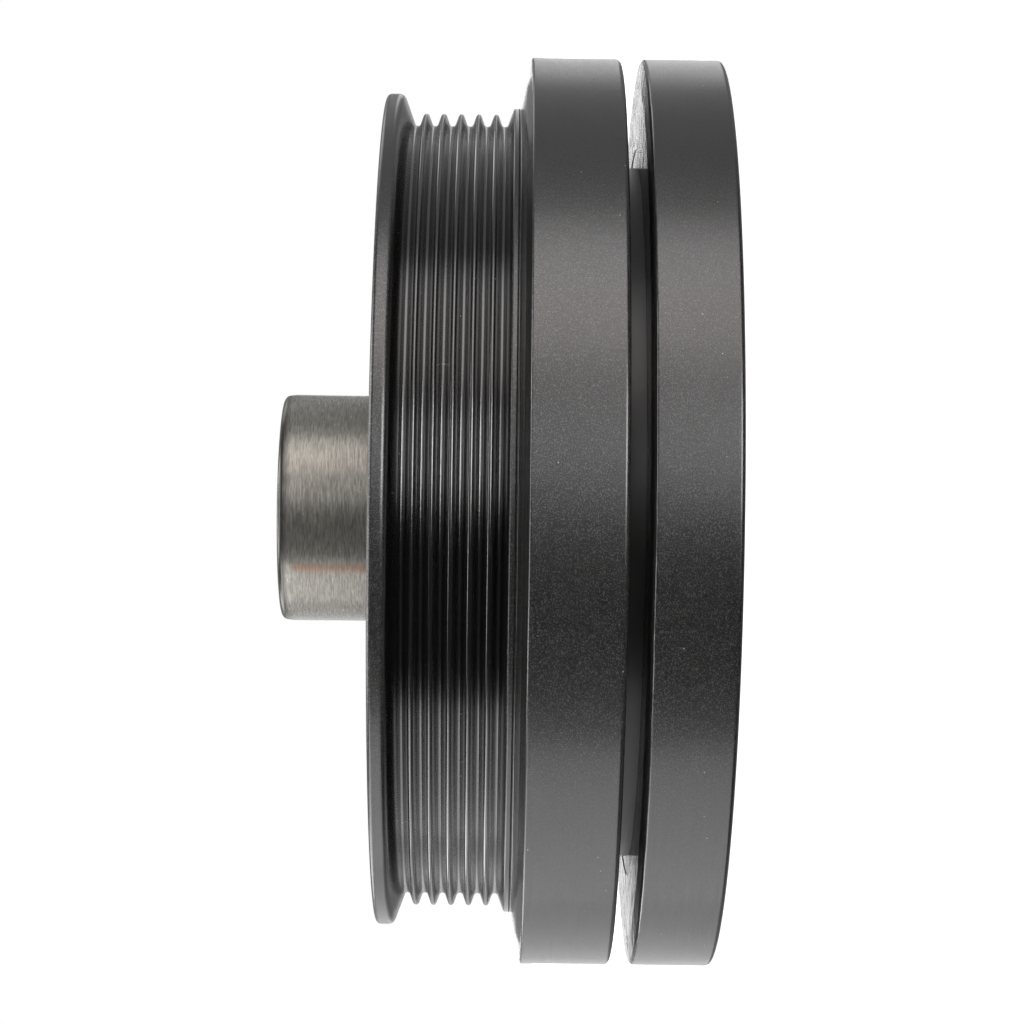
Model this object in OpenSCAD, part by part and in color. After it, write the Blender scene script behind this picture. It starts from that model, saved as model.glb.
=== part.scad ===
// Harmonic balancer for an engine's crankshaft, in millimetres.
// A cast hub carries two inertia rings on bands of rubber.
// The rear ring is also the belt pulley.
// The axis is Z. The flat front faces down on z = 0, and the seal snout points up.

/* [Inertia rings] */
// Height of both rings over the rib tips
ring_h = 11.6; // [9.5:0.1:14]
// Width of the front ring at its rim
front_ring_w = 15.7; // [10:0.1:24]
// Open gap between the two rings
ring_gap = 4.7; // [3:0.1:8]
// Width of the pulley ring's wide band at its rim
band_w = 18; // [12:0.1:28]
// Rounding on the front rim edge of the front ring
front_ring_edge = 0.9; // [0.3:0.1:3]
// Rounding on the rear rim edge of the front ring
front_ring_rear_edge = 0.5; // [0.3:0.1:1.6]
// Rounding on the front rim edge of the wide band
band_front_edge = 1; // [0.3:0.1:3]
// Rounding on the rear rim edge of the wide band
band_rear_edge = 0.5; // [0.3:0.1:1.6]
// Radial width of the tapered rim zone on each cast rear face
taper_w = 5.7; // [4:0.1:7]
// Height that the cast rear face of the wide band gains over the taper
band_crown = 0.9; // [0.4:0.1:2]
// Height that the cast rear face of the front ring gains over the taper
ring_crown = 0.9; // [0.3:0.1:1.6]
// Chamfer at the mouths of both ring bores
ring_chamfer = 0.8; // [0.3:0.1:1.5]

/* [Belt grooves] */
// Number of belt grooves
groove_count = 6; // [4:1:8]
// Distance from one groove to the next
groove_pitch = 3.56; // [3.5:0.01:4]
// Angle between the two flanks of a groove
groove_angle = 40; // [38:1:44]
// Diameter over the rib tips
belt_d = 163; // [150:0.5:180]
// Wall of the pulley ring between the rib tips and its bore
pulley_wall = 6.7; // [6:0.1:9]
// Rounding of the rib tips
rib_tip_r = 0.55; // [0.3:0.05:0.65]
// Rounding of the groove bottoms
groove_root_r = 0.7; // [0.3:0.05:0.8]
// Height of the front shoulder over the rib tips
shoulder_h = 1.2; // [0.6:0.1:1.8]
// Width of the flat on top of the front shoulder
shoulder_w = 1.1; // [1:0.05:3]
// Rounding of the shoulder's edges
shoulder_edge = 0.4; // [0.2:0.1:0.5]
// Width of the relief between the shoulder and the cast rear face
relief_w = 0.3; // [0.2:0.1:1]
// Depth of that relief below the shoulder
relief_d = 0.8; // [0.4:0.1:1.2]
// Height of the rear flange over the rib tips
flange_h = 4; // [2.5:0.1:6]
// Width of the rear flange at its crest
flange_w = 3.3; // [2.4:0.1:5]
// Rounding on the front of the flange's crest
flange_front_edge = 1.4; // [0.5:0.1:1.6]
// Rounding on the rear of the flange's crest
flange_rear_edge = 0.9; // [0.3:0.1:1.2]

/* [Rubber bands] */
// Radial thickness of the rubber between hub and rings
rubber_t = 3.8; // [3:0.1:4.4]
// Depth of the rubber's ends below the faces beside them
rubber_recess = 0.8; // [0.4:0.1:2]
// Depth of the hollow that the rubber's ends are moulded with
rubber_dip = 1; // [0.4:0.1:1.4]
// Height of the rubber lip that climbs the hub's rim in the gap
rubber_lip = 1.6; // [0.8:0.1:2.2]

/* [Hub rim and web] */
// Wall of the rim at its two mouths
rim_t = 8; // [6:0.1:10]
// Depth of the rim's front edge below the front ring's face
rim_front_recess = 1; // [0.5:0.1:3]
// Depth of the rim's rear edge below the flange's rear face
rim_rear_recess = 4; // [2:0.1:8]
// Height of the web's front face
web_z = 24; // [20:0.5:28]
// Thickness of the web
web_t = 13; // [9:0.5:16]
// Draft of the cast walls, in degrees
draft = 3; // [1:0.5:5]
// Fillet between the web and its walls
web_fillet = 5; // [3:0.5:6]
// Edge break on the rim's mouths
rim_edge = 1; // [0.4:0.1:1.5]

/* [Hub boss and snout] */
// Diameter of the front boss
boss_d = 84; // [80:0.5:90]
// Depth of the front boss below the front ring's face
boss_recess = 8; // [5:0.5:12]
// Edge break on the boss and its root
boss_edge = 1.5; // [0.5:0.1:2.5]
// Diameter of the snout's thick root behind the web
root_d = 62; // [56:0.5:70]
// Length of the thick root from the web's rear face
root_l = 21; // [12:0.5:24]
// Diameter of the snout that the oil seal runs on
snout_d = 46.8; // [44:0.1:50]
// Length of the snout beyond the flange's rear face
snout_proud = 20.8; // [15:0.1:30]
// Length of the snout's tapered lead-in
lead_l = 2.6; // [1.5:0.1:4]
// Drop in radius over the snout's lead-in
lead_h = 0.3; // [0.1:0.1:1.5]
// Rounding on the snout's end
snout_edge = 1.3; // [0.4:0.1:1.6]

/* [Bore and holes] */
// Diameter of the crankshaft bore
bore_d = 34; // [30:0.1:36]
// Chamfer at the bore's rear mouth
bore_chamfer = 1; // [0.5:0.1:1.5]
// Width of the keyway
key_w = 5; // [4:0.1:6]
// Depth of the keyway past the bore's wall
key_h = 2.3; // [1.5:0.1:3]
// Diameter of the counterbore for the bolt's washer
seat_d = 48; // [44:0.5:52]
// Depth of the counterbore in the boss
seat_depth = 4; // [2:0.5:8]
// Number of threaded puller holes
puller_count = 3; // [2:1:4]
// Diameter of the circle that the puller holes lie on
puller_circle_d = 66; // [64:0.5:70]
// Tapping diameter of the puller holes
puller_d = 6.8; // [5:0.1:8]
// Depth of the puller holes
puller_depth = 18; // [12:0.5:22]
// Chamfer at the mouths of the counterbore and the puller holes
mouth_chamfer = 0.8; // [0.3:0.1:1.2]

/* [Hidden] */
$fn = 180;

// Largest turn between two points of a rounded corner
arc_step = 12;
// Angle of a drill's point
drill_angle = 118;
// Length by which a cutter runs past the face that it cuts
cut_over = 1;
// Rise of a cast rear face for each millimetre inwards from the end of its taper
cast_slope = 0.2;
// Rounding at the bottom of the relief beside the shoulder
relief_round = 0.3;
// Share of the taper's width that stays flat beside the wide band's rear edge
taper_flat = 0.6;

// Half of a straight angle, less the slack within which a corner counts as straight
straight_half = 89.5;

// Radii that several pieces share, worked out from the rib tips inwards and outwards
tip_r = belt_d / 2;
ring_bore_r = tip_r - pulley_wall;
rim_r = ring_bore_r - rubber_t;
ring_r = tip_r + ring_h;
flange_r = tip_r + flange_h;
shoulder_r = tip_r + shoulder_h;
relief_r = shoulder_r - relief_d;
taper_r = ring_r - taper_w;

// Groove flanks, run on to the sharp points where they would meet
flank = tan(groove_angle / 2);
round_gain = 1 / sin(groove_angle / 2) - 1;
sharp_tip_r = tip_r + rib_tip_r * round_gain;
sharp_root_r = sharp_tip_r - groove_pitch / 2 / flank;

// Heights, worked out from the front face upwards
front_ring_rear_z = front_ring_w + ring_crown;
band_front_z = front_ring_w + ring_gap;
band_rear_z = band_front_z + band_w;
cast_root_z = band_rear_z + band_crown + (taper_r - relief_r) * cast_slope;
shoulder_front_z = cast_root_z + relief_w;
shoulder_z = shoulder_front_z + shoulder_w;
first_groove_z = shoulder_z + (shoulder_r - sharp_root_r) * flank;
last_groove_z = first_groove_z + (groove_count - 1) * groove_pitch;
flange_front_z = last_groove_z + (flange_r - sharp_root_r) * flank;
flange_rear_z = flange_front_z + flange_w;
rim_rear_z = flange_rear_z - rim_rear_recess;
web_rear_z = web_z + web_t;
root_z = web_rear_z + root_l;
snout_z = flange_rear_z + snout_proud;
seat_z = boss_recess + seat_depth;

// One corner [radius, height, rounding] of an outline, as the points of its arc
function rounded_corner(a, b, c) =
    let (
        p = [b[0], b[1]],
        to_a = [a[0], a[1]] - p,
        to_c = [c[0], c[1]] - p,
        u = to_a / norm(to_a),
        v = to_c / norm(to_c),
        half = acos(max(-1, min(1, u * v))) / 2,
        middle = u + v
    )
    b[2] == 0 || half > straight_half ? [p] :
    let (
        centre = p + middle / norm(middle) * b[2] / sin(half),
        start = p + u * b[2] / tan(half) - centre,
        side = u[0] * v[1] - u[1] * v[0] > 0 ? -1 : 1,
        turn = side * (180 - 2 * half),
        steps = ceil(abs(turn) / arc_step)
    )
    [for (i = [0:steps])
        let (t = turn * i / steps)
        centre + [start[0] * cos(t) - start[1] * sin(t), start[0] * sin(t) + start[1] * cos(t)]];

// A whole outline with its corners rounded
function rounded_outline(corners) =
    let (n = len(corners))
    [for (i = [0:n - 1])
        for (p = rounded_corner(corners[(i + n - 1) % n], corners[i], corners[(i + 1) % n])) p];

// A body turned from an outline of [radius, height, rounding] corners
module turned(corners) {
    rotate_extrude() polygon(rounded_outline(corners));
}

// Corners of the belt grooves: each groove's bottom, and the rib tip between it and the next
function groove_corners() =
    [for (i = [0:groove_count - 1])
        let (z = first_groove_z + i * groove_pitch)
        each i < groove_count - 1
            ? [[sharp_root_r, z, groove_root_r], [sharp_tip_r, z + groove_pitch / 2, rib_tip_r]]
            : [[sharp_root_r, z, groove_root_r]]];

// Hub: one casting with rim, web, boss and snout
module hub() {
    color([0.13, 0.13, 0.14])
        difference() {
            hub_body();
            crank_bore();
            bolt_seat();
            puller_holes();
        }
}

module hub_body() {
    boss_r = boss_d / 2;
    root_r = root_d / 2;
    snout_r = snout_d / 2;
    mouth_r = rim_r - rim_t;
    front_pull = (web_z - rim_front_recess) * tan(draft);
    rear_pull = (rim_rear_z - web_rear_z) * tan(draft);
    boss_pull = (web_z - boss_recess) * tan(draft);
    root_pull = root_l * tan(draft);
    turned([
        [0, boss_recess, 0],
        [boss_r, boss_recess, boss_edge],
        [boss_r + boss_pull, web_z, web_fillet],
        [mouth_r - front_pull, web_z, web_fillet],
        [mouth_r, rim_front_recess, rim_edge],
        [rim_r, rim_front_recess, rim_edge],
        [rim_r, rim_rear_z, rim_edge],
        [mouth_r, rim_rear_z, rim_edge],
        [mouth_r - rear_pull, web_rear_z, web_fillet],
        [root_r + root_pull, web_rear_z, web_fillet],
        [root_r, root_z, boss_edge],
        [snout_r, root_z, boss_edge],
        [snout_r, snout_z - lead_l, 0],
        [snout_r - lead_h, snout_z, snout_edge],
        [0, snout_z, 0]
    ]);
}

// Bore for the crankshaft's nose, with its keyway
module crank_bore() {
    bore_r = bore_d / 2;
    mouth_r = bore_r + bore_chamfer;
    translate([0, 0, seat_z - cut_over])
        cylinder(r = bore_r, h = snout_z - seat_z + 2 * cut_over);
    translate([0, 0, snout_z - bore_chamfer])
        cylinder(r1 = bore_r, r2 = mouth_r + cut_over, h = bore_chamfer + cut_over);
    translate([0, -key_w / 2, seat_z - cut_over])
        cube([bore_r + key_h, key_w, snout_z - seat_z + 2 * cut_over]);
}

// Counterbore that the crankshaft bolt's washer seats in
module bolt_seat() {
    translate([0, 0, boss_recess - cut_over])
        cylinder(d = seat_d, h = seat_depth + cut_over);
    chamfered_mouth(seat_d / 2);
}

// Chamfer round the mouth of a hole in the boss's face
module chamfered_mouth(hole_r) {
    translate([0, 0, boss_recess - cut_over])
        cylinder(
            r1 = hole_r + mouth_chamfer + cut_over,
            r2 = hole_r,
            h = mouth_chamfer + cut_over
        );
}

// Blind holes for a puller's screws, with the drill's point at the bottom
module puller_holes() {
    point_l = puller_d / 2 / tan(drill_angle / 2);
    for (i = [0:puller_count - 1])
        rotate([0, 0, 180 + i * 360 / puller_count])
            translate([puller_circle_d / 2, 0, 0]) {
                translate([0, 0, boss_recess - cut_over])
                    cylinder(d = puller_d, h = puller_depth + cut_over);
                translate([0, 0, boss_recess + puller_depth])
                    cylinder(r1 = puller_d / 2, r2 = 0, h = point_l);
                chamfered_mouth(puller_d / 2);
            }
}

// Pulley ring: wide inertia band, relief, shoulder, belt grooves and rounded flange
module pulley_ring() {
    color([0.16, 0.16, 0.17])
        turned(concat(
            [
                [ring_bore_r, band_front_z + ring_chamfer, 0],
                [ring_bore_r + ring_chamfer, band_front_z, 0],
                [ring_r, band_front_z, band_front_edge],
                [ring_r, band_rear_z, band_rear_edge],
                [ring_r - taper_w * taper_flat, band_rear_z, 0],
                [taper_r, band_rear_z + band_crown, taper_w],
                [relief_r, cast_root_z, relief_round],
                [shoulder_r, shoulder_front_z, shoulder_edge],
                [shoulder_r, shoulder_z, shoulder_edge]
            ],
            groove_corners(),
            [
                [flange_r, flange_front_z, flange_front_edge],
                [flange_r, flange_rear_z, flange_rear_edge],
                [ring_bore_r + ring_chamfer, flange_rear_z, 0],
                [ring_bore_r, flange_rear_z - ring_chamfer, 0]
            ]
        ));
}

// Front inertia ring: plain rim, cast rear face that rises inside a taper
module front_inertia_ring() {
    color([0.18, 0.18, 0.19])
        turned([
            [ring_bore_r, ring_chamfer, 0],
            [ring_bore_r + ring_chamfer, 0, 0],
            [ring_r, 0, front_ring_edge],
            [ring_r, front_ring_w, front_ring_rear_edge],
            [taper_r, front_ring_rear_z, taper_w],
            [ring_bore_r + ring_chamfer, front_ring_rear_z, 0],
            [ring_bore_r, front_ring_rear_z - ring_chamfer, 0]
        ]);
}

// Band of rubber between the hub's rim and a ring's bore, from its lower to its upper end
module rubber_band(low_in_z, low_out_z, high_in_z, high_out_z) {
    middle_r = (rim_r + ring_bore_r) / 2;
    color([0.07, 0.07, 0.07])
        turned([
            [rim_r, low_in_z, 0],
            [middle_r, max(low_in_z, low_out_z) + rubber_dip, rubber_t / 2],
            [ring_bore_r, low_out_z, 0],
            [ring_bore_r, high_out_z, 0],
            [middle_r, min(high_in_z, high_out_z) - rubber_dip, rubber_t / 2],
            [rim_r, high_in_z, 0]
        ]);
}

// Front band, with a lip that climbs the rim in the gap between the rings
module front_rubber_band() {
    low_z = rim_front_recess + rim_edge + rubber_recess;
    high_z = front_ring_rear_z - ring_chamfer;
    rubber_band(low_z, low_z, high_z + rubber_lip, high_z);
}

// Rear band, under the whole width of the pulley ring that the rim carries
module rear_rubber_band() {
    low_z = band_front_z + ring_chamfer + rubber_recess;
    high_z = rim_rear_z - rim_edge - rubber_recess;
    rubber_band(low_z, low_z, high_z, high_z);
}

hub();
rear_rubber_band();
pulley_ring();
front_rubber_band();
front_inertia_ring();
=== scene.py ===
"""Looks of a harmonic balancer: a cast hub, two inertia rings and the rubber between them.

The part stands on its flat front face with its axis along Z. The camera lies on its side,
so that the axis runs across the picture and the seal snout points to the left.
"""

import math
import bmesh
import bpy
from mathutils import Matrix, Vector


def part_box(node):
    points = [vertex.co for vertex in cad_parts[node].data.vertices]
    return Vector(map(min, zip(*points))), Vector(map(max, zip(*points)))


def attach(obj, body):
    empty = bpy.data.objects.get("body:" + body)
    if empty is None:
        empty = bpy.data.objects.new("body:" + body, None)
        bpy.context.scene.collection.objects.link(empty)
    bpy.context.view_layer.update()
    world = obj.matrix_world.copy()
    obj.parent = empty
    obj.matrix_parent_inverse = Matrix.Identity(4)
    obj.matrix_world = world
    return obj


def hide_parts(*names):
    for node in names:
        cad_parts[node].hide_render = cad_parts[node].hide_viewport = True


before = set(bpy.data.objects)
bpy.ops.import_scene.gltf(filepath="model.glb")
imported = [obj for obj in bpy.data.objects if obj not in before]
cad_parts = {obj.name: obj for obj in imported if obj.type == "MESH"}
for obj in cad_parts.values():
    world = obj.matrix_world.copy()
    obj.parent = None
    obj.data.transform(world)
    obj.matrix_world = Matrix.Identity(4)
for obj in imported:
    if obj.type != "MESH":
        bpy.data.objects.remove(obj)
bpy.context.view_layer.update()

MM = 0.001
ROOT = "root"

# Sizes that the frame gives, in millimetres


def box_mm(node):
    """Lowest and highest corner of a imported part, in millimetres."""
    low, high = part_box(node)
    return Vector(low) / MM, Vector(high) / MM


front_high = box_mm("front_inertia_ring")[1]
rubber_high = box_mm("front_rubber_band")[1]
pulley_low, pulley_high = box_mm("pulley_ring")
hub_low, hub_high = box_mm("hub")

ring_r = front_high.x
ring_bore_r = rubber_high.x
rim_r = hub_high.x
rim_front_z = hub_low.z
snout_z = hub_high.z
front_ring_rear_z = front_high.z
band_front_z = pulley_low.z
flange_rear_z = pulley_high.z

# Inertia rings
front_ring_w = 15.7
band_w = 18.0
front_ring_edge = 0.9
front_ring_rear_edge = 0.5
band_front_edge = 1.0
band_rear_edge = 0.5
taper_w = 5.7
band_crown = 0.9
ring_chamfer = 0.8
cast_slope = 0.2
taper_flat = 0.6

# Step that the casting leaves inside the front ring's rear edge, and its small rear bore chamfer
lip_w = 0.8
lip_drop = 0.45
rear_bore_chamfer = 0.15

# Belt grooves
groove_count = 6
groove_pitch = 3.56
groove_angle = math.radians(40)
belt_d = 163.0
rib_tip_r = 0.55
groove_root_r = 0.7
shoulder_h = 1.2
shoulder_w = 1.1
shoulder_edge = 0.4
relief_w = 0.3
relief_d = 0.8
relief_round = 0.3
flange_h = 4.0
flange_w = 3.3
flange_front_edge = 1.4
flange_rear_edge = 0.9

# Hub
rim_t = 8.0
rim_rear_recess = 4.0
web_z = 24.0
web_t = 13.0
draft = math.radians(3)
web_fillet = 5.0
rim_edge = 1.0
boss_d = 84.0
boss_recess = 8.0
boss_edge = 1.5
root_d = 62.0
root_l = 21.0
snout_d = 46.8
lead_l = 2.6
lead_h = 0.3
snout_edge = 1.3
bore_d = 34.0
bore_chamfer = 1.0
key_w = 5.0
key_h = 2.3
seat_d = 48.0
seat_depth = 4.0
puller_count = 3
puller_circle_d = 66.0
puller_d = 6.8
puller_depth = 18.0
mouth_chamfer = 0.8
drill_angle = math.radians(118)

# Rubber, whose front band rises a little towards the rim
rubber_recess = 0.8
rubber_dip = 1.0
rubber_rise = 0.15

# Heights and radii worked out from the values above
taper_r = ring_r - taper_w
band_rear_z = band_front_z + band_w
rubber_t = ring_bore_r - rim_r
rubber_middle_r = (rim_r + ring_bore_r) / 2
tip_r = belt_d / 2
shoulder_r = tip_r + shoulder_h
relief_r = shoulder_r - relief_d
flange_r = tip_r + flange_h
flank = math.tan(groove_angle / 2)
sharp_tip_r = tip_r + rib_tip_r * (1 / math.sin(groove_angle / 2) - 1)
sharp_root_r = sharp_tip_r - groove_pitch / 2 / flank
cast_root_z = band_rear_z + band_crown + (taper_r - relief_r) * cast_slope
shoulder_front_z = cast_root_z + relief_w
shoulder_z = shoulder_front_z + shoulder_w
first_groove_z = shoulder_z + (shoulder_r - sharp_root_r) * flank
flange_front_z = flange_rear_z - flange_w
rim_rear_z = flange_rear_z - rim_rear_recess
web_rear_z = web_z + web_t
root_z = web_rear_z + root_l
seat_z = boss_recess + seat_depth
boss_r = boss_d / 2
root_r = root_d / 2
snout_r = snout_d / 2
lead_z = snout_z - lead_l
seat_r = seat_d / 2
bore_r = bore_d / 2

# Attribute that is 1 where a face is left as cast, and 0 where it is turned
CAST = "cast"

# Node graphs


class Value:
    """A socket whose value can stand in a Python expression, which adds Math nodes."""

    def __init__(self, graph, socket):
        self.graph = graph
        self.socket = socket

    def __add__(self, other):
        return self.graph.math("ADD", self, other)

    def __radd__(self, other):
        return self.graph.math("ADD", other, self)

    def __sub__(self, other):
        return self.graph.math("SUBTRACT", self, other)

    def __rsub__(self, other):
        return self.graph.math("SUBTRACT", other, self)

    def __mul__(self, other):
        return self.graph.math("MULTIPLY", self, other)

    def __rmul__(self, other):
        return self.graph.math("MULTIPLY", other, self)

    def __truediv__(self, other):
        return self.graph.math("DIVIDE", self, other)

    def __rtruediv__(self, other):
        return self.graph.math("DIVIDE", other, self)


class Graph:
    """The emptied node tree of a material, the world or a modifier."""

    def __init__(self, tree):
        self.tree = tree
        self.tree.nodes.clear()

    def node(self, kind, settings=None, inputs=None):
        """Adds a node, sets its settings, then fills its sockets with numbers or links."""
        made = self.tree.nodes.new(kind)
        for name, value in (settings or {}).items():
            setattr(made, name, value)
        for key, value in (inputs or {}).items():
            self.feed(made.inputs[key], value)
        return made

    def feed(self, socket, value):
        """Links a Value or a socket to an input, or sets its number."""
        if isinstance(value, Value):
            self.tree.links.new(value.socket, socket)
        elif isinstance(value, bpy.types.NodeSocket):
            self.tree.links.new(value, socket)
        else:
            socket.default_value = value

    def math(self, operation, *numbers):
        """Result of one Math node."""
        made = self.node("ShaderNodeMath", {"operation": operation}, dict(enumerate(numbers)))
        return Value(self, made.outputs[0])

    def absolute(self, value):
        """A value without its sign."""
        return self.math("ABSOLUTE", value)

    def smooth(self, value, low, high, out_low=0.0, out_high=1.0):
        """0 to 1, or other limits, as value goes from low to high, with soft ends."""
        made = self.node(
            "ShaderNodeMapRange",
            {"interpolation_type": "SMOOTHSTEP"},
            {0: value, 1: low, 2: high, 3: out_low, 4: out_high},
        )
        return Value(self, made.outputs[0])

    def blend(self, factor, first, second):
        """Mixes two colours."""
        made = self.node("ShaderNodeMix", {"data_type": "RGBA"}, {0: factor, 6: first, 7: second})
        return made.outputs[2]

    def combine(self, x, y, z):
        """A vector from its three numbers."""
        return self.node("ShaderNodeCombineXYZ", None, {0: x, 1: y, 2: z}).outputs[0]

    def split(self, vector):
        """The three numbers of a vector."""
        parts = self.node("ShaderNodeSeparateXYZ", None, {0: vector})
        return [Value(self, out) for out in parts.outputs]

    def noise(self, place, scale, detail=2.0, roughness=0.5):
        """Soft spots from 0 to 1, about as many in a metre as scale says."""
        made = self.node(
            "ShaderNodeTexNoise",
            None,
            {"Vector": place, "Scale": scale, "Detail": detail, "Roughness": roughness},
        )
        return Value(self, made.outputs["Fac"])

    def specks(self, place, scale, share, size, core=0.4):
        """Small round spots in a share of the cells of a cell pattern, full in their core."""
        cells = self.node("ShaderNodeTexVoronoi", None, {"Vector": place, "Scale": scale})
        chance = self.split(cells.outputs["Color"])[0]
        near = 1 - self.smooth(Value(self, cells.outputs["Distance"]), size * core, size)
        return near * self.math("LESS_THAN", chance, share)


class Finish(Graph):
    """The node graph of a material with one Principled shader. Its places are in metres."""

    def __init__(self, name):
        self.material = bpy.data.materials.new(name)
        self.material.use_nodes = True
        super().__init__(self.material.node_tree)
        self.place = self.node("ShaderNodeTexCoord").outputs["Object"]
        self.x, self.y, self.z = self.split(self.place)
        self.radius = self.math("SQRT", self.x * self.x + self.y * self.y)
        self.angle = self.math("ARCTAN2", self.x, -1.0 * self.y)

    def cast_mask(self):
        """1 on faces left as cast, 0 on turned ones."""
        flag = self.node("ShaderNodeAttribute", {"attribute_name": CAST})
        return Value(self, flag.outputs["Fac"])

    def end_mask(self):
        """1 on faces that lie square to the axis, 0 on those round it."""
        normal = self.node("ShaderNodeNewGeometry").outputs["Normal"]
        return self.smooth(self.absolute(self.split(normal)[2]), low=0.85, high=0.97)

    def round_the_axis(self, along, across):
        """Coordinates for marks that a lathe leaves: long round the axis, fine across it."""
        return self.combine(self.x * along, self.y * along, (self.z + self.radius) * across)

    def lathe_marks(self, along, across):
        """Fine lines round the axis, with so many marks in a metre along and across them."""
        place = self.round_the_axis(along, across)
        return self.noise(place, scale=1.0, detail=3.0, roughness=0.6)

    def bump(self, height, depth):
        """Normal of a relief whose height runs from 0 to 1, depth in metres."""
        inputs = {"Strength": 1.0, "Distance": depth, "Height": height}
        return self.node("ShaderNodeBump", None, inputs).outputs[0]

    def shade(self, constants, varying):
        """Ends the graph in a Principled shader and gives the material."""
        shader = self.node("ShaderNodeBsdfPrincipled", None, {**constants, **varying})
        self.node("ShaderNodeOutputMaterial", None, {"Surface": shader.outputs[0]})
        return self.material


# Finishes, with linear colours

# Share of the fine relief that faces square to the axis are without
END_SMOOTHNESS = 0.85

PAINT_BLACK = (0.004, 0.004, 0.0041, 1)
PAINT_WORN = (0.009, 0.0088, 0.0086, 1)
# Light grey of the specks, partly fine grains and partly painted sparkle
POWDER_SPARKLE = (0.095, 0.094, 0.093, 1)
PAINT_ON_CAST = (0.016, 0.0155, 0.015, 1)
DUST = (0.62, 0.60, 0.58, 1)
PAINT_ROUGHNESS = 0.26
PAINT_COAT = 0.1
# The belt grooves are smoother and coated, and lose that towards their far ends along X, over
# these distances from the axis in millimetres
GROOVE_SMOOTHNESS = 0.17
GROOVE_COAT = 0.85
GROOVE_END_ROUGHNESS = 0.27
GROOVE_END_START = 70
GROOVE_END_FULL = 80


def satin_paint(name, groove_low=None, groove_high=None):
    """Satin black paint over turned iron, uneven where it is cast, with light specks that are
    partly fine grains and partly painted sparkle. Between the two heights of the grooves, in
    millimetres, it is smooth and has no specks."""
    paint = Finish(name)
    cast = paint.cast_mask()
    turned = 1 - cast
    grain = paint.noise(paint.place, scale=3900.0, detail=2.0, roughness=0.7)
    turning = paint.lathe_marks(along=60.0, across=3600.0)
    lumps = paint.noise(paint.place, scale=800.0, detail=3.0, roughness=0.6)
    cloud = paint.noise(paint.place, scale=70.0, detail=3.0)
    mottle = paint.smooth(grain * 0.75 + turning * 0.25, low=0.38, high=0.62)
    relief = turned * (grain + turning * 0.35) + cast * (grain * 0.5 + lumps * 1.2)
    relief = relief * (1 - paint.end_mask() * END_SMOOTHNESS)
    roughness = PAINT_ROUGHNESS + cloud * 0.06 + mottle * 0.05 - cast * 0.08
    coat = PAINT_COAT + mottle * 0.4
    # Light specks: partly real grains, partly painted sparkle where the grain catches the light
    powder_sparkle = powder_sparkle_mask(paint) * turned
    if groove_low is not None:
        groove = groove_mask(paint, groove_low, groove_high)
        away = paint.absolute(paint.x)
        ends = paint.smooth(away, GROOVE_END_START * MM, GROOVE_END_FULL * MM)
        roughness = roughness + groove * (ends * GROOVE_END_ROUGHNESS - GROOVE_SMOOTHNESS)
        coat = paint.math("MAXIMUM", coat, groove * (1 - ends) * GROOVE_COAT)
        powder_sparkle = powder_sparkle * (1 - groove)
    colour = paint.blend(mottle, PAINT_BLACK, PAINT_WORN)
    colour = paint.blend(powder_sparkle, colour, POWDER_SPARKLE)
    colour = paint.blend(cast, colour, PAINT_ON_CAST)
    colour = paint.blend(dust_mask(paint) * turned, colour, DUST)
    constants = {"Specular IOR Level": 0.9, "Coat Roughness": 0.13}
    varying = {
        "Base Color": colour,
        "Roughness": roughness,
        "Coat Weight": coat,
        "Normal": paint.bump(relief, depth=0.03 * MM),
    }
    return paint.shade(constants, varying)


def powder_sparkle_mask(paint):
    """Fine light specks on the paint, dense round one place along X and thin farther from it:
    partly real grains, and partly painted sparkle where the grain catches the light.
    """
    # Band along X where the specks are dense, which paints the sparkle of the grain there
    dense_x = 6
    dense_reach = 35
    thin_reach = 65
    lost_where_thin = 0.8
    place = paint.round_the_axis(along=3800.0, across=5400.0)
    grains = paint.noise(place, scale=1.0, detail=1.0, roughness=0.5)
    off = paint.absolute(paint.x - dense_x * MM)
    lost = paint.smooth(off, dense_reach * MM, thin_reach * MM, out_high=lost_where_thin)
    return paint.smooth(grains, low=0.5, high=0.66) * (1 - lost)


def groove_mask(paint, low, high):
    """1 between two heights in millimetres, with a narrow soft edge above each."""
    edge = 0.4
    above_low = paint.smooth(paint.z, low * MM, (low + edge) * MM)
    above_high = paint.smooth(paint.z, high * MM, (high + edge) * MM)
    return above_low * (1 - above_high)


def dust_mask(paint):
    """Specks of dust, and fainter short scratches along the axis, which are stretched specks."""
    stretch = 0.1
    faintness = 0.6
    dust = paint.specks(paint.place, scale=700.0, share=0.045, size=0.1)
    stretched = paint.combine(paint.x, paint.y, paint.z * stretch)
    scratches = paint.specks(stretched, scale=900.0, share=0.006, size=0.12)
    return paint.math("MAXIMUM", dust, scratches * faintness)


CASTING_DARK = (0.035, 0.034, 0.034, 1)
CASTING_LIGHT = (0.065, 0.062, 0.06, 1)
IRON_DARK = (0.20, 0.193, 0.172, 1)
IRON_LIGHT = (0.37, 0.352, 0.31, 1)
# Painted shade, dark brownish, on the edge of the snout's end, which tones down its reflection of
# the overhead light
LEAD_IN_SHADE = (0.07, 0.065, 0.058, 1)
RUST = (0.30, 0.13, 0.07, 1)
CASTING_ROUGHNESS = 0.26
IRON_ROUGHNESS = 0.16
IRON_METAL = 0.55


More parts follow.
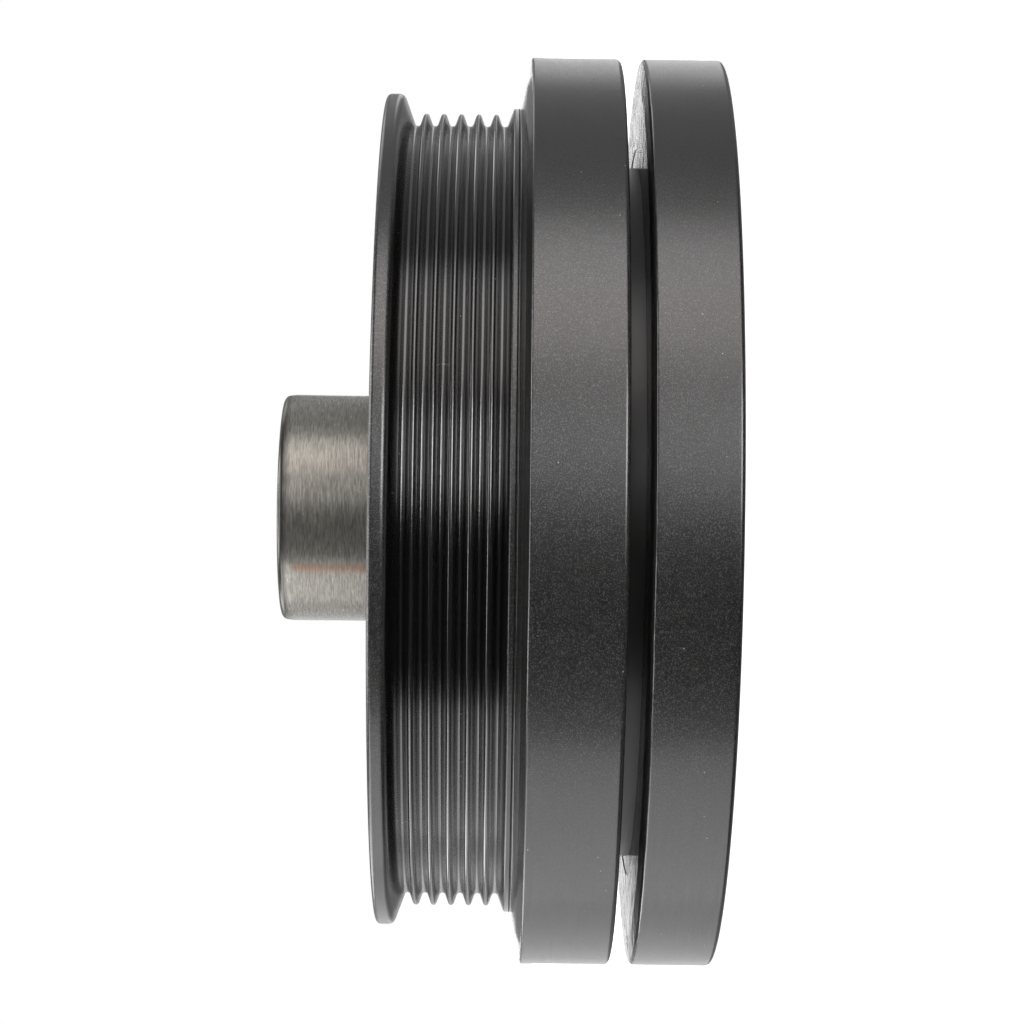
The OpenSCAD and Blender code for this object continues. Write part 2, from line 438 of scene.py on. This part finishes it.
def hub_finish(name):
    """Black paint on the casting; bare ground iron on snout, bore and bolt seat."""
    hub = Finish(name)
    cast = hub.cast_mask()
    bare = bare_mask(hub)
    painted = 1 - bare
    grain = hub.noise(hub.place, scale=2300.0, detail=2.5, roughness=0.65)
    lumps = hub.noise(hub.place, scale=600.0, detail=4.0, roughness=0.6)
    cloud = hub.noise(hub.place, scale=90.0, detail=3.0)
    fine_grinding = hub.lathe_marks(along=70.0, across=9000.0)
    coarse_grinding = hub.lathe_marks(along=35.0, across=2200.0)
    flecks = hub.lathe_marks(along=450.0, across=3600.0)
    relief = painted * (grain * 0.8 + cast * lumps * 2.6)
    relief = relief + bare * (fine_grinding * 3.2 + coarse_grinding * 0.5)
    paint = hub.blend(cloud, CASTING_DARK, CASTING_LIGHT)
    iron = hub.blend(hub.smooth(flecks, low=0.3, high=0.7), IRON_DARK, IRON_LIGHT)
    # Painted shade on the outer edge of the snout's end
    iron = hub.blend(lead_in_shade_mask(hub), iron, LEAD_IN_SHADE)
    iron = hub.blend(rust_line(hub), iron, RUST)
    roughness = painted * (CASTING_ROUGHNESS + cast * 0.06 + cloud * 0.1)
    roughness = roughness + bare * (IRON_ROUGHNESS + flecks * 0.16)
    varying = {
        "Base Color": hub.blend(bare, paint, iron),
        "Roughness": roughness,
        "Metallic": bare * IRON_METAL,
        "Normal": hub.bump(relief, depth=0.012 * MM),
    }
    return hub.shade({"Specular IOR Level": 0.8}, varying)


def bare_mask(hub):
    """1 on the snout, the bore and the bolt seat, where the iron has no paint. The paint has a
    soft edge on the root's end and round the seat."""
    root_edge = 0.5
    seat_edge = 0.3
    snout = hub.smooth(hub.z, (root_z - root_edge) * MM, (root_z + root_edge) * MM)
    snout = snout * (1 - hub.smooth(hub.radius, root_r * MM, (root_r + 2 * root_edge) * MM))
    bore = 1 - hub.smooth(hub.radius, seat_r * MM, (seat_r + seat_edge) * MM)
    return hub.math("MAXIMUM", snout, bore)


def lead_in_shade_mask(hub):
    """1 on the outer edge of the snout's end, painted dark brownish as shade that tones down the
    overhead light's bright reflection there.
    """
    end_r = snout_r - lead_h
    near_end = hub.smooth(hub.z, lead_z * MM, (snout_z - snout_edge / 2) * MM)
    return near_end * hub.smooth(hub.radius, (end_r - snout_edge) * MM, end_r * MM)


# Place of the rusty line round the axis, from the side that faces the camera towards +X
RUST_ANGLE = math.radians(-31)
# Turns in radians: half the width at full strength, where the line ends, and its waviness
RUST_HALF_WIDTH = 0.015
RUST_REACH = 0.1
RUST_WAVE = 0.05
RUST_STRENGTH = 0.65


def rust_line(hub):
    """Thin rusty line along the snout, which fades just before the lead-in."""
    fade_l = 1
    off = hub.absolute(hub.angle - RUST_ANGLE)
    wave = hub.noise(hub.place, scale=420.0, detail=2.0) * RUST_WAVE
    line = 1 - hub.smooth(off + wave, RUST_HALF_WIDTH, RUST_REACH)
    fade = hub.smooth(hub.z, (lead_z - fade_l) * MM, lead_z * MM)
    return line * (1 - fade) * RUST_STRENGTH


RUBBER_DARK = (0.04, 0.04, 0.04, 1)
RUBBER_LIGHT = (0.075, 0.072, 0.07, 1)
RUBBER_ROUGHNESS = 0.34


def rubber_finish(name):
    """Dull black moulded rubber, with smoother ends."""
    rubber = Finish(name)
    ends = rubber.end_mask()
    grain = rubber.noise(rubber.place, scale=1800.0, detail=3.0, roughness=0.6)
    cloud = rubber.noise(rubber.place, scale=140.0, detail=3.0)
    relief = grain * (1 - ends * END_SMOOTHNESS)
    varying = {
        "Base Color": rubber.blend(cloud, RUBBER_DARK, RUBBER_LIGHT),
        "Roughness": RUBBER_ROUGHNESS + cloud * 0.15 - ends * 0.2,
        "Normal": rubber.bump(relief, depth=0.02 * MM),
    }
    return rubber.shade({"Specular IOR Level": 0.8}, varying)


# Outlines of turned pieces, in millimetres

# Largest turn between two points of a rounded corner
ARC_STEP = math.radians(7)
# Half of a straight angle, less the slack within which a corner counts as straight
STRAIGHT_HALF = math.radians(89.5)
# Distance from the ends of a straight run to the points that keep its shading flat
SHADING_HOLD = 0.08
# Largest distance between two points of a cast stretch
CAST_STEP = 0.8
HUB_CAST_STEP = 1.2


def arc_points(before, corner, after):
    """Points of one rounded corner (radius, height, rounding, cast) of an outline."""
    here = Vector(corner[:2])
    to_before = (Vector(before[:2]) - here).normalized()
    to_after = (Vector(after[:2]) - here).normalized()
    half = to_before.angle(to_after) / 2
    rounding = corner[2]
    if rounding == 0 or half > STRAIGHT_HALF:
        return [(here, corner[3])]
    centre = here + (to_before + to_after).normalized() * rounding / math.sin(half)
    start = here + to_before * rounding / math.tan(half) - centre
    turn = math.pi - 2 * half
    if to_before.cross(to_after) > 0:
        turn = -turn
    steps = max(2, math.ceil(abs(turn) / ARC_STEP))
    points = []
    for step in range(steps + 1):
        spin = Matrix.Rotation(turn * step / steps, 2)
        cast = before[3] if step * 2 < steps else corner[3]
        points.append((centre + spin @ start, cast))
    return points


def outline(corners, cast_step):
    """A closed outline with rounded corners. A corner's last number is 1 if the run after it is
    cast. A straight run gets a point close to each end, and a cast one also every cast_step."""
    bends = []
    count = len(corners)
    for n, corner in enumerate(corners):
        bends.append(arc_points(corners[n - 1], corner, corners[(n + 1) % count]))
    points = []
    for n, bend in enumerate(bends):
        points += bend
        start = bend[-1][0]
        run = bends[(n + 1) % count][0][0] - start
        cast = corners[n][3]
        if run.length > 4 * SHADING_HOLD:
            pieces = math.ceil(run.length / cast_step) if cast else 1
            shares = [SHADING_HOLD / run.length]
            shares += [k / pieces for k in range(1, pieces)]
            shares += [1 - SHADING_HOLD / run.length]
            points += [(start + run * share, cast) for share in shares]
    return points


# Node tree that turns an outline

SEGMENTS = 360
# Distance in metres within which the points of the seam become one
MERGE_DISTANCE = 1e-6


def input_socket(tree, name, kind, value=None):
    """Adds a named input to a modifier's tree and gives its identifier."""
    made = tree.interface.new_socket(name, in_out="INPUT", socket_type=kind)
    if value is not None:
        made.default_value = value
    return made.identifier


def cast_flag(graph):
    """The cast attribute of a geometry's points."""
    named = graph.node(
        "GeometryNodeInputNamedAttribute", {"data_type": "FLOAT"}, {"Name": CAST}
    )
    return named.outputs[0]


def sample_outline(graph, kind, profile, value, index):
    """A value of one point of the outline."""
    sampled = graph.node(
        "GeometryNodeSampleIndex",
        {"data_type": kind, "domain": "POINT"},
        {"Geometry": profile, "Value": value, "Index": index},
    )
    return sampled.outputs[0]


def turned_surface(graph, profile, segments):
    """Bends a grid round Z: its rows are the outline's points and its columns the segments."""
    count = Value(
        graph, graph.node("GeometryNodeAttributeDomainSize", None, {0: profile}).outputs[0]
    )
    columns = segments + 1.0
    grid = graph.node(
        "GeometryNodeMeshGrid", None, {"Vertices X": count + 1.0, "Vertices Y": columns}
    )
    # Half a point more keeps the division clear of rounding down to the row before
    index = Value(graph, graph.node("GeometryNodeInputIndex").outputs[0])
    row = graph.math("FLOOR", (index + 0.5) / columns)
    column = index - row * columns
    outline_index = graph.math("MODULO", row, count)
    position = graph.node("GeometryNodeInputPosition").outputs[0]
    point = sample_outline(graph, "FLOAT_VECTOR", profile, position, outline_index)
    cast = sample_outline(graph, "FLOAT", profile, cast_flag(graph), outline_index)
    out, _, up = graph.split(point)
    turn = column * (2 * math.pi) / segments
    spun = graph.combine(out * graph.math("COSINE", turn), out * graph.math("SINE", turn), up)
    body = graph.node(
        "GeometryNodeSetPosition", None, {"Geometry": grid.outputs[0], "Position": spun}
    )
    marked = graph.node(
        "GeometryNodeStoreNamedAttribute",
        {"data_type": "FLOAT", "domain": "POINT"},
        {"Geometry": body.outputs[0], "Name": CAST, "Value": cast},
    )
    closed = graph.node(
        "GeometryNodeMergeByDistance",
        None,
        {"Geometry": marked.outputs[0], "Distance": MERGE_DISTANCE},
    )
    return closed.outputs[0]


def cast_surface(graph, body, relief, grain, seed):
    """Lifts and lowers the cast stretches of a body by half the relief."""
    lumps = graph.node(
        "ShaderNodeTexNoise",
        {"noise_dimensions": "4D"},
        {"Scale": 1.0 / grain, "W": seed, "Detail": 2.0},
    )
    height = (Value(graph, lumps.outputs[0]) - 0.5) * relief
    height = height * Value(graph, cast_flag(graph))
    normal = graph.node("GeometryNodeInputNormal").outputs[0]
    lift = graph.node("ShaderNodeVectorMath", {"operation": "SCALE"}, {0: normal, 3: height})
    rough = graph.node(
        "GeometryNodeSetPosition", None, {"Geometry": body, "Offset": lift.outputs[0]}
    )
    return rough.outputs[0]


def turning_tree():
    """Turns an outline, a row of points in the XZ plane, into a closed body round Z, and gives
    its cast stretches a relief. Returns the tree and its inputs' identifiers."""
    tree = bpy.data.node_groups.new("turned from an outline", "GeometryNodeTree")
    tree.interface.new_socket("Geometry", in_out="OUTPUT", socket_type="NodeSocketGeometry")
    tree.interface.new_socket("Geometry", in_out="INPUT", socket_type="NodeSocketGeometry")
    names = {
        "segments": input_socket(tree, "Segments", "NodeSocketInt", SEGMENTS),
        "relief": input_socket(tree, "Cast relief", "NodeSocketFloat", 0.0),
        "grain": input_socket(tree, "Cast grain", "NodeSocketFloat", MM),
        "seed": input_socket(tree, "Seed", "NodeSocketFloat", 0.0),
        "material": input_socket(tree, "Material", "NodeSocketMaterial"),
    }
    graph = Graph(tree)
    given = graph.node("NodeGroupInput").outputs
    body = turned_surface(graph, given["Geometry"], Value(graph, given["Segments"]))
    relief = Value(graph, given["Cast relief"])
    grain = Value(graph, given["Cast grain"])
    rough = cast_surface(graph, body, relief, grain, given["Seed"])
    smooth = graph.node("GeometryNodeSetShadeSmooth", None, {"Geometry": rough})
    real = graph.node("GeometryNodeRealizeInstances", None, {"Geometry": smooth.outputs[0]})
    painted = graph.node(
        "GeometryNodeSetMaterial",
        None,
        {"Geometry": real.outputs[0], "Material": given["Material"]},
    )
    graph.node("NodeGroupOutput", None, {"Geometry": painted.outputs[0]})
    return tree, names


TURNING, TURNING_INPUTS = turning_tree()

# Pieces

# Angle between two faces past which their edge stays hard
SHARP_ANGLE = math.radians(30)


def link(thing):
    """Puts an object into the scene."""
    bpy.context.scene.collection.objects.link(thing)


def turned_piece(name, corners, material, relief, grain, seed, cast_step=CAST_STEP):
    """A plain mesh turned from the corners of an outline. Its cast faces have a relief of so
    many millimetres, in lumps of so many millimetres."""
    points = outline(corners, cast_step)
    profile = bpy.data.meshes.new(name + "_outline")
    profile.from_pydata([(p.x * MM, 0, p.y * MM) for p, _ in points], [], [])
    flags = profile.attributes.new(CAST, "FLOAT", "POINT")
    flags.data.foreach_set("value", [float(cast) for _, cast in points])
    piece = bpy.data.objects.new(name, profile)
    link(piece)
    modifier = piece.modifiers.new("turning", "NODES")
    modifier.node_group = TURNING
    settings = {
        "segments": SEGMENTS,
        "relief": relief * MM,
        "grain": grain * MM,
        "seed": seed,
        "material": material,
    }
    for key, value in settings.items():
        modifier[TURNING_INPUTS[key]] = value
    make_plain(piece, material)
    finish_mesh(piece)
    return piece


def make_plain(piece, material):
    """Turns what a piece's modifiers make into its own mesh of one material, and removes them."""
    evaluated = piece.evaluated_get(bpy.context.evaluated_depsgraph_get())
    mesh = bpy.data.meshes.new_from_object(evaluated)
    mesh.materials.clear()
    mesh.materials.append(material)
    mesh.polygons.foreach_set("material_index", [0] * len(mesh.polygons))
    piece.modifiers.clear()
    old = piece.data
    piece.data = mesh
    bpy.data.meshes.remove(old)


def finish_mesh(piece):
    """Turns the faces outwards and keeps hard edges hard."""
    mesh = bmesh.new()
    mesh.from_mesh(piece.data)
    if mesh.calc_volume(signed=True) < 0:
        bmesh.ops.reverse_faces(mesh, faces=mesh.faces)
    mesh.to_mesh(piece.data)
    mesh.free()
    piece.data.shade_smooth()
    piece.data.set_sharp_from_angle(angle=SHARP_ANGLE)


def dress(piece, node):
    """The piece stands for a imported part."""
    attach(piece, ROOT)
    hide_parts(node)


def groove_corners():
    """Corners of the belt grooves: each groove's bottom, and the rib tip after it."""
    corners = []
    for n in range(groove_count):
        z = first_groove_z + n * groove_pitch
        corners.append((sharp_root_r, z, groove_root_r, 0))
        if n < groove_count - 1:
            corners.append((sharp_tip_r, z + groove_pitch / 2, rib_tip_r, 0))
    return corners


def make_pulley_ring(material):
    """Wide inertia band with its cast rear face, shoulder, belt grooves and flange."""
    corners = [
        (ring_bore_r, band_front_z + ring_chamfer, 0, 0),
        (ring_bore_r + ring_chamfer, band_front_z, 0, 0),
        (ring_r, band_front_z, band_front_edge, 0),
        (ring_r, band_rear_z, band_rear_edge, 1),
        (ring_r - taper_w * taper_flat, band_rear_z, 0, 1),
        (taper_r, band_rear_z + band_crown, taper_w, 1),
        (relief_r, cast_root_z, relief_round, 0),
        (shoulder_r, shoulder_front_z, shoulder_edge, 0),
        (shoulder_r, shoulder_z, shoulder_edge, 0),
        *groove_corners(),
        (flange_r, flange_front_z, flange_front_edge, 0),
        (flange_r, flange_rear_z, flange_rear_edge, 0),
        (ring_bore_r + ring_chamfer, flange_rear_z, 0, 0),
        (ring_bore_r, flange_rear_z - ring_chamfer, 0, 0),
    ]
    piece = turned_piece(
        "ribbed_pulley_ring", corners, material, relief=0.09, grain=1.1, seed=3.0
    )
    dress(piece, "pulley_ring")


def make_front_ring(material):
    """Front inertia ring, whose cast rear face has a small step inside its edge."""
    rear_z = front_ring_rear_z
    corners = [
        (ring_bore_r, ring_chamfer, 0, 0),
        (ring_bore_r + ring_chamfer, 0, 0, 0),
        (ring_r, 0, front_ring_edge, 0),
        (ring_r, front_ring_w, front_ring_rear_edge, 1),
        (ring_r - lip_w, rear_z - lip_drop, lip_w / 2, 1),
        (taper_r, rear_z, taper_w, 1),
        (ring_bore_r + rear_bore_chamfer, rear_z, 0, 0),
        (ring_bore_r, rear_z - rear_bore_chamfer, 0, 0),
    ]
    piece = turned_piece("front_ring", corners, material, relief=0.28, grain=2.4, seed=7.0)
    dress(piece, "front_inertia_ring")


def make_rubber_band(name, node, low_z, rear_end, material, seed):
    """A band of rubber with a hollow front end, and a rear end made from its own corners."""
    corners = [
        (rim_r, low_z, 0, 1),
        (rubber_middle_r, low_z + rubber_dip, rubber_t / 2, 1),
        (ring_bore_r, low_z, 0, 0),
        *rear_end,
    ]
    piece = turned_piece(name, corners, material, relief=0.1, grain=1.6, seed=seed)
    dress(piece, node)


def make_rubber_bands(material):
    """Front band, which ends flush with its ring in the gap, and hollow-ended rear band."""
    low_z = rim_front_z + rim_edge + rubber_recess
    high_z = front_ring_rear_z - rear_bore_chamfer
    flush = [(ring_bore_r, high_z, 0, 1), (rim_r, high_z + rubber_rise, 0, 0)]
    make_rubber_band("front_rubber", "front_rubber_band", low_z, flush, material, seed=2)
    low_z = band_front_z + ring_chamfer + rubber_recess
    high_z = rim_rear_z - rim_edge - rubber_recess
    hollow = [
        (ring_bore_r, high_z, 0, 1),
        (rubber_middle_r, high_z - rubber_dip, rubber_t / 2, 1),
        (rim_r, high_z, 0, 0),
    ]
    make_rubber_band("rear_rubber", "rear_rubber_band", low_z, hollow, material, seed=5)


def hub_corners():
    """Outline of the hub with its bore and counterbore."""
    mouth_r = rim_r - rim_t
    front_pull = (web_z - rim_front_z) * math.tan(draft)
    rear_pull = (rim_rear_z - web_rear_z) * math.tan(draft)
    boss_pull = (web_z - boss_recess) * math.tan(draft)
    root_pull = root_l * math.tan(draft)
    return [
        (bore_r, seat_z, 0, 0),
        (seat_r, seat_z, 0, 0),
        (seat_r, boss_recess + mouth_chamfer, 0, 0),
        (seat_r + mouth_chamfer, boss_recess, 0, 0),
        (boss_r, boss_recess, boss_edge, 1),
        (boss_r + boss_pull, web_z, web_fillet, 1),
        (mouth_r - front_pull, web_z, web_fillet, 1),
        (mouth_r, rim_front_z, rim_edge, 0),
        (rim_r, rim_front_z, rim_edge, 1),
        (rim_r, rim_rear_z, rim_edge, 0),
        (mouth_r, rim_rear_z, rim_edge, 1),
        (mouth_r - rear_pull, web_rear_z, web_fillet, 1),
        (root_r + root_pull, web_rear_z, web_fillet, 1),
        (root_r, root_z, boss_edge, 0),
        (snout_r, root_z, boss_edge, 0),
        (snout_r, lead_z, 0, 0),
        (snout_r - lead_h, snout_z, snout_edge, 0),
        (bore_r + bore_chamfer, snout_z, 0, 0),
        (bore_r, snout_z - bore_chamfer, 0, 0),
    ]


# Cutters for the hub, in millimetres

# Length by which a cutter runs past the face that it cuts
CUT_OVER = 1.0
HOLE_SIDES = 48


def cutter(fill):
    """An object that cuts the hub, from a function that fills a bmesh in millimetres."""
    mesh = bmesh.new()
    fill(mesh)
    bmesh.ops.scale(mesh, vec=(MM, MM, MM), verts=mesh.verts)
    data = bpy.data.meshes.new("cutter")
    mesh.to_mesh(data)
    mesh.free()
    made = bpy.data.objects.new("cutter", data)
    link(made)
    return made


def add_keyway(mesh):
    """Block that cuts the keyway along the whole bore."""
    inner = bore_r - 2 * CUT_OVER
    depth = bore_r + key_h - inner
    height = snout_z - seat_z + 2 * CUT_OVER
    place = Matrix.Translation((inner + depth / 2, 0, (snout_z + seat_z) / 2))
    size = Matrix.Diagonal((depth, key_w, height, 1))
    bmesh.ops.create_cube(mesh, size=1, matrix=place @ size)


def round_point(turn, radius, z=0.0):
    """A point at a turn from +X, a radius and a height."""
    return Vector((math.cos(turn) * radius, math.sin(turn) * radius, z))


def add_puller_holes(mesh):
    """Drills that cut the blind puller holes with their chamfered mouths."""
    full_turn = 2 * math.pi
    hole_r = puller_d / 2
    bottom_z = boss_recess + puller_depth
    point_l = hole_r / math.tan(drill_angle / 2)
    rings = [
        (hole_r + mouth_chamfer + CUT_OVER, boss_recess - CUT_OVER),
        (hole_r, boss_recess + mouth_chamfer),
        (hole_r, bottom_z),
    ]
    turns = [full_turn * k / HOLE_SIDES for k in range(HOLE_SIDES)]
    for n in range(puller_count):
        middle = round_point(math.pi - full_turn * n / puller_count, puller_circle_d / 2)
        loops = []
        for radius, z in rings:
            loops.append([mesh.verts.new(middle + round_point(turn, radius, z)) for turn in turns])
        point = mesh.verts.new(middle + Vector((0, 0, bottom_z + point_l)))
        mesh.faces.new(reversed(loops[0]))
        for k in range(HOLE_SIDES):
            after = (k + 1) % HOLE_SIDES
            for low, high in zip(loops, loops[1:]):
                mesh.faces.new((low[k], low[after], high[after], high[k]))
            mesh.faces.new((loops[-1][k], loops[-1][after], point))


def make_hub(material):
    """Hub casting with its keyway and puller holes."""
    piece = turned_piece(
        "cast_hub",
        hub_corners(),
        material,
        relief=0.14,
        grain=1.5,
        seed=11.0,
        cast_step=HUB_CAST_STEP,
    )
    cutters = [cutter(add_keyway), cutter(add_puller_holes)]
    for tool in cutters:
        modifier = piece.modifiers.new("cut", "BOOLEAN")
        modifier.operation = "DIFFERENCE"
        modifier.solver = "MANIFOLD"
        modifier.object = tool
    make_plain(piece, material)
    for tool in cutters:
        bpy.data.objects.remove(tool)
    finish_mesh(piece)
    dress(piece, "hub")


# Camera, which lies on its left side: image left is +Z and image up is +X

# Distance from the axis, and height of the point that the camera turns about, in millimetres
CAMERA_DISTANCE = 632.0
PIVOT_Z = 41.0
# Small turns about the image's upright and about the line of sight, in radians
CAMERA_YAW = 0.0038
CAMERA_ROLL = 0.0136
# Focal length, picture width and the point that the lens looks at, in pixels
LENS_PIXELS = 3040.5
PICTURE = 1024
CENTRE_X = 512.0
CENTRE_Y = 509.9
# Sensor width in millimetres
SENSOR = 36.0
# Nearest and farthest distance that shows, in metres
CLIP_START = 0.01
CLIP_END = 50.0


def make_camera():
    """Camera fitted to the edges of the rings and the rib tips in the photograph."""
    pivot = Vector((0, 0, PIVOT_Z))
    away = CAMERA_DISTANCE * Vector((0, -math.cos(CAMERA_YAW), math.sin(CAMERA_YAW)))
    back = away.normalized()
    level_right = Vector((1, 0, 0)).cross(back).normalized()
    level_up = back.cross(level_right)
    right = level_right * math.cos(CAMERA_ROLL) + level_up * math.sin(CAMERA_ROLL)
    up = level_up * math.cos(CAMERA_ROLL) - level_right * math.sin(CAMERA_ROLL)
    turn = Matrix((right, up, back)).transposed().to_4x4()
    data = bpy.data.cameras.new("camera")
    data.sensor_width = SENSOR
    data.lens = LENS_PIXELS / PICTURE * SENSOR
    data.shift_x = ((PICTURE - 1) / 2 - CENTRE_X) / PICTURE
    data.shift_y = (CENTRE_Y - (PICTURE - 1) / 2) / PICTURE
    data.clip_start = CLIP_START
    data.clip_end = CLIP_END
    camera = bpy.data.objects.new("camera", data)
    camera.matrix_world = Matrix.Translation((pivot + away) * MM) @ turn
    link(camera)
    bpy.context.scene.camera = camera


# Light and floor. Directions round the axis are angles in degrees from the side that faces the
# camera towards +X. Heights are sines of the angle above the floor.

# Name, middle, half width and soft margin round the axis, strength, lower end and upper end
SOFTBOXES = [
    ("upper key", 55, 11, 17, 2.4, -0.4, 0.4),
    ("front", 17, 10, 10, 0.62, -0.2, 0.0),
    ("front fill", 17, 6, 8, 2.6, 0.08, 0.3),
    ("front strip", 17, 10, 10, 8.8, -0.6, -0.26),
    ("upper side", 110, 20, 20, 0.39, -0.5, 0.5),
    ("upper strip", 132, 12, 8, 1.6, 0.25, 0.6),
    ("back", 172, 26, 26, 1.3, -0.09, -0.01),
    ("wide back", 180, 60, 20, 0.3, -0.95, 0.95),
    ("far back", 180, 8, 8, 3.0, 0.035, 0.05),
    ("lower back", -135, 22, 22, 1.05, -0.12, 0.12),
    ("lower side", -86, 24, 8, 1.6, -0.3, 0.3),
    ("lower strip", -102, 36, 12, 3.8, 0.31, 0.6),
]
# Height over which a softbox fades past its lower and its upper end
END_MARGIN = 0.04
# Level where no softbox stands
DARK_ROOM = 0.06
# Ring-shaped light overhead: its level, the heights over which it comes in and goes out, and the
# share of it that is left at the very top
OVERHEAD = 5.2
OVERHEAD_START = (0.84, 0.92)
OVERHEAD_END = (0.94, 0.98)
OVERHEAD_LEFT = 0.15
# Warmer light from +X on the camera's side: it comes in over the limits in x and goes out over
# those in y
WARM = (1.09, 0.99, 0.97, 1)
WARM_X = (0.4, 0.8)
WARM_Y = (-0.7, -0.3)
WHITE = (1, 1, 1, 1)

FLOOR_DARK = (0.78, 0.78, 0.78, 1)
FLOOR_LIGHT = (0.82, 0.82, 0.82, 1)
# Share of full white that the floor adds by itself
FLOOR_GLOW = 0.75
# Half the width of the floor in metres
FLOOR_HALF = 3.0


def softbox(graph, angle, z, middle, half_width, margin, strength, bottom, top):
    """Level of one softbox in a direction given by its angle and its height."""
    off = graph.math("ARCCOSINE", graph.math("COSINE", angle - math.radians(middle)))
    low = math.radians(half_width)
    high = math.radians(half_width + margin)
    level = graph.smooth(off, low, high, strength, 0.0)
    level = level * graph.smooth(z, bottom - END_MARGIN, bottom)
    return level * graph.smooth(z, top, top + END_MARGIN, 1.0, 0.0)


def make_world():
    """White for the camera, and a dark room with softboxes for all other rays."""
    world = bpy.data.worlds.new("studio")
    bpy.context.scene.world = world
    world.use_nodes = True
    graph = Graph(world.node_tree)
    towards = graph.node("ShaderNodeTexCoord").outputs["Generated"]
    x, y, z = graph.split(towards)
    angle = graph.math("ARCTAN2", x, -1.0 * y)
    level = DARK_ROOM
    for _, *box in SOFTBOXES:
        level = graph.math("MAXIMUM", level, softbox(graph, angle, z, *box))
    overhead = graph.smooth(z, *OVERHEAD_START)
    overhead = overhead * graph.smooth(z, *OVERHEAD_END, 1.0, OVERHEAD_LEFT)
    level = graph.math("MAXIMUM", level, overhead * OVERHEAD)
    warm = graph.smooth(x, *WARM_X) * graph.smooth(y, *WARM_Y, 1.0, 0.0)
    tint = graph.blend(warm, WHITE, WARM)
    studio = graph.node("ShaderNodeBackground", None, {"Color": tint, "Strength": level})
    white = graph.node("ShaderNodeBackground", None, {"Color": WHITE, "Strength": 1.0})
    seen = graph.node("ShaderNodeLightPath").outputs["Is Camera Ray"]
    mixed = graph.node(
        "ShaderNodeMixShader", None, {0: seen, 1: studio.outputs[0], 2: white.outputs[0]}
    )
    graph.node("ShaderNodeOutputWorld", None, {"Surface": mixed.outputs[0]})


def floor_finish(name):
    """Pale matt surface that adds white of its own for camera, glossy and transmission rays."""
    material = bpy.data.materials.new(name)
    material.use_nodes = True
    graph = Graph(material.node_tree)
    place = graph.node("ShaderNodeTexCoord").outputs["Object"]
    mottle = graph.noise(place, scale=900.0, detail=3.0)
    tone = graph.blend(mottle, FLOOR_DARK, FLOOR_LIGHT)
    matt = graph.node("ShaderNodeBsdfDiffuse", None, {"Color": tone})
    glow = graph.node("ShaderNodeEmission", None, {"Color": WHITE, "Strength": 1.0})
    both = graph.node("ShaderNodeAddShader", None, {0: matt.outputs[0], 1: glow.outputs[0]})
    path = graph.node("ShaderNodeLightPath").outputs
    shown = graph.math("MAXIMUM", path["Is Camera Ray"], path["Is Glossy Ray"])
    shown = graph.math("MAXIMUM", shown, path["Is Transmission Ray"])
    mixed = graph.node(
        "ShaderNodeMixShader",
        None,
        {0: shown * FLOOR_GLOW, 1: matt.outputs[0], 2: both.outputs[0]},
    )
    graph.node("ShaderNodeOutputMaterial", None, {"Surface": mixed.outputs[0]})
    return material


def make_floor(material):
    """Floor under the part, which shows nearly white and keeps a soft shadow."""
    half = FLOOR_HALF
    mesh = bpy.data.meshes.new("floor")
    corners = [(-half, -half, 0), (half, -half, 0), (half, half, 0), (-half, half, 0)]
    mesh.from_pydata(corners, [], [(0, 1, 2, 3)])
    mesh.materials.append(material)
    floor = bpy.data.objects.new("floor", mesh)
    link(floor)
    floor.visible_glossy = False


bpy.context.scene.view_settings.view_transform = "Standard"
make_camera()
make_world()
make_floor(floor_finish("pale floor"))
make_pulley_ring(satin_paint("pulley paint", shoulder_z, flange_front_z))
make_front_ring(satin_paint("ring paint"))
make_rubber_bands(rubber_finish("band rubber"))
make_hub(hub_finish("hub iron"))
